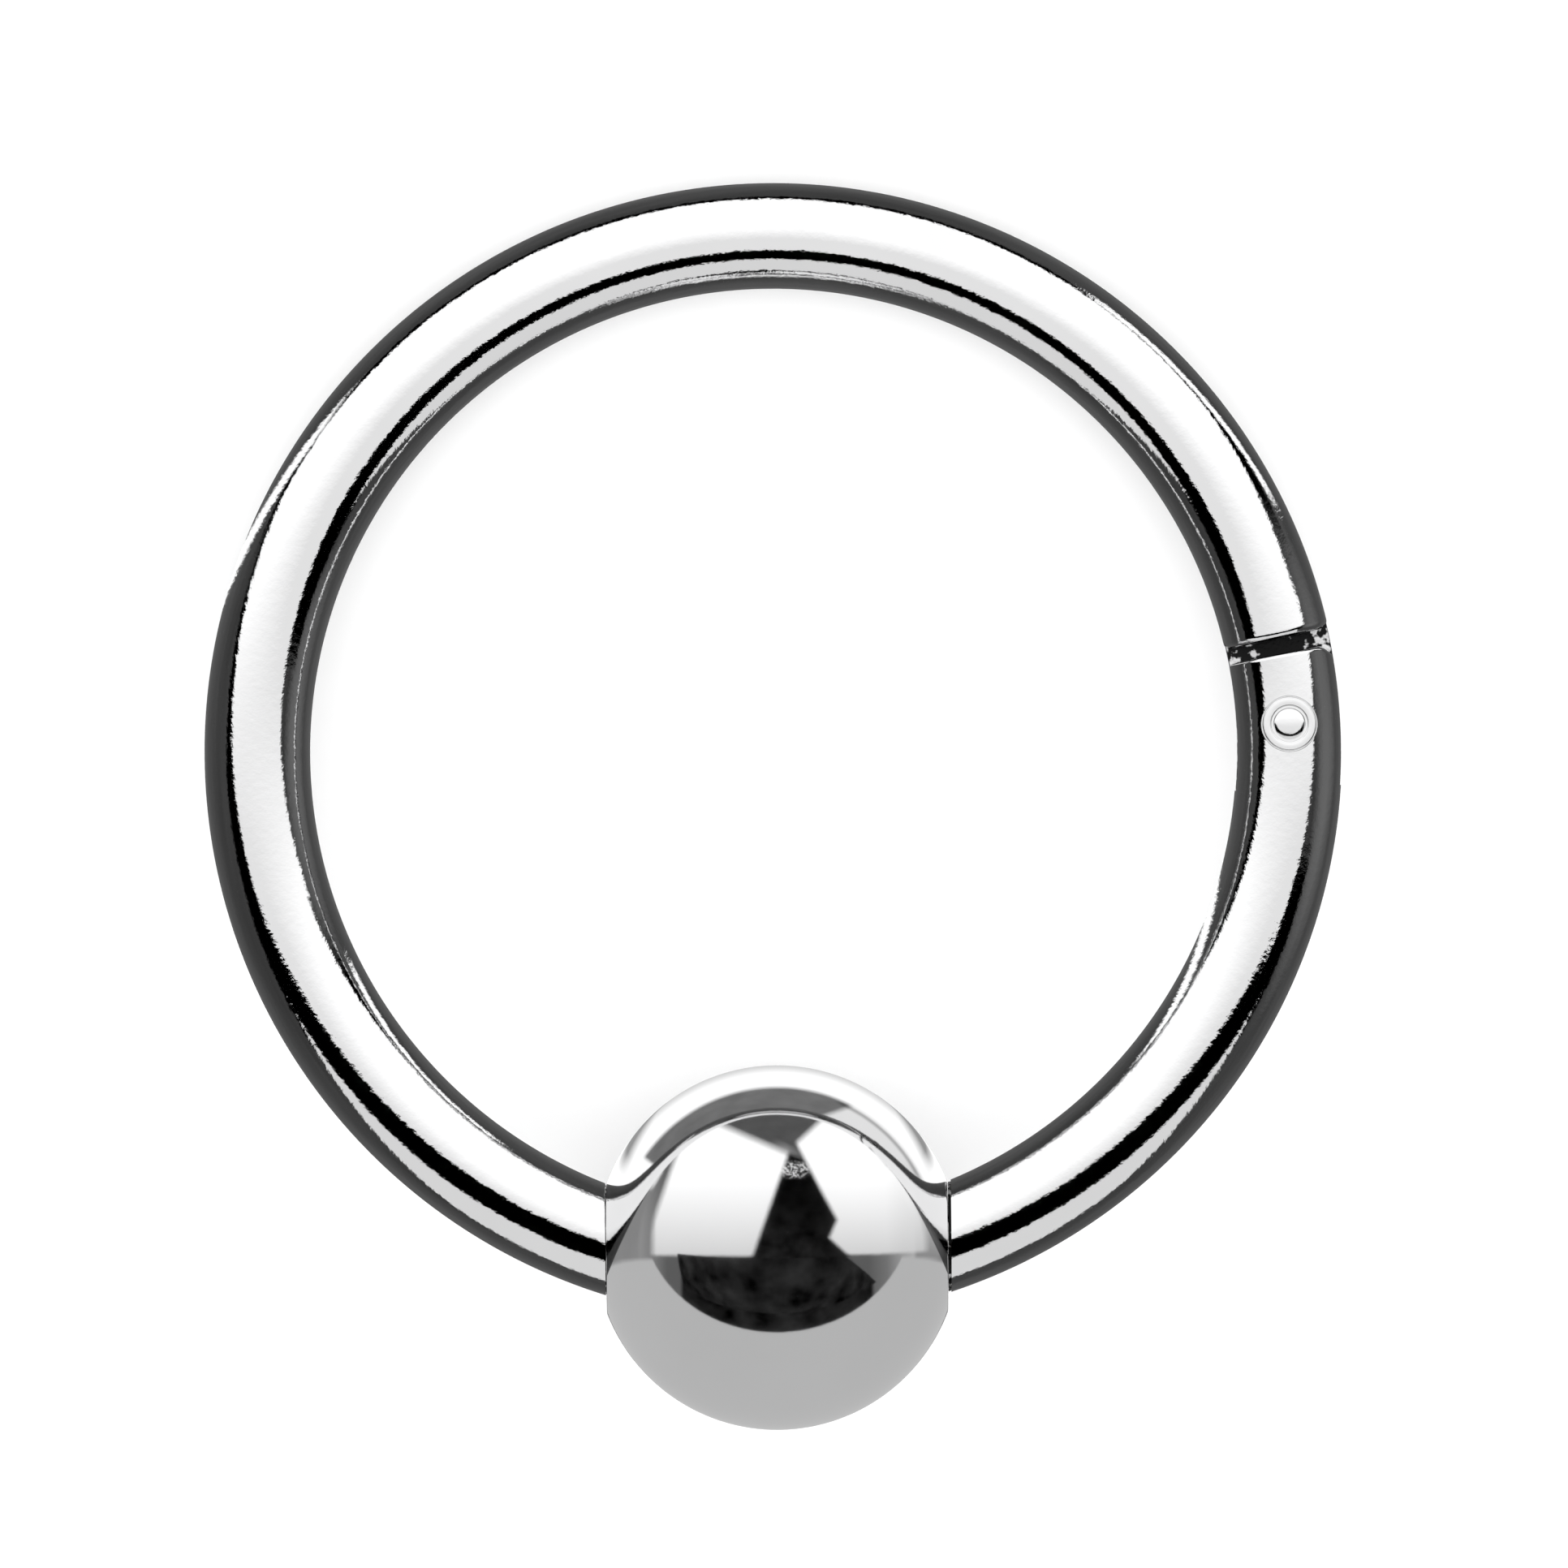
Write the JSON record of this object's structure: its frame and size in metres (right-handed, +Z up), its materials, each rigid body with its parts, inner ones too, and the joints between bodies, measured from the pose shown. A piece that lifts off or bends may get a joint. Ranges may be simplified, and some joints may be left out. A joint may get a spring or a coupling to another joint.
{
  "type": "captive bead ring",
  "caption": "Round wire ring closed by a round bead, with a hinged stretch of wire that swings outwards to open it, in mirror-polished steel.",
  "frame": {"origin": "on the surface that the ring rests on, below the middle of its bounding box", "axes": "+Z up from that surface; +Y from the bead to the wire opposite it; +X towards the hinge, so the ring lies on its side with the bead's side raised"},
  "size_m": [0.0124, 0.0136, 0.004],
  "materials": {
    "polished_wire": "mirror polished steel with faint polishing lines",
    "polished_bead": "mirror polished steel",
    "pin_steel": "turned steel, lightly polished"
  },
  "bodies": {
    "fixed_ring": {"hoop": "polished_wire", "bead": "polished_bead"},
    "swinging_segment": {"segment": "polished_wire", "hinge_pin": "pin_steel"}
  },
  "joints": [
    {"name": "segment_hinge", "type": "hinge", "parent": "fixed_ring", "child": "swinging_segment", "pos_m": [0.00565, 0.00086, 0.00127], "axis": [0, 0.1279, 0.9918], "range_deg": [0, 95]}
  ]
}
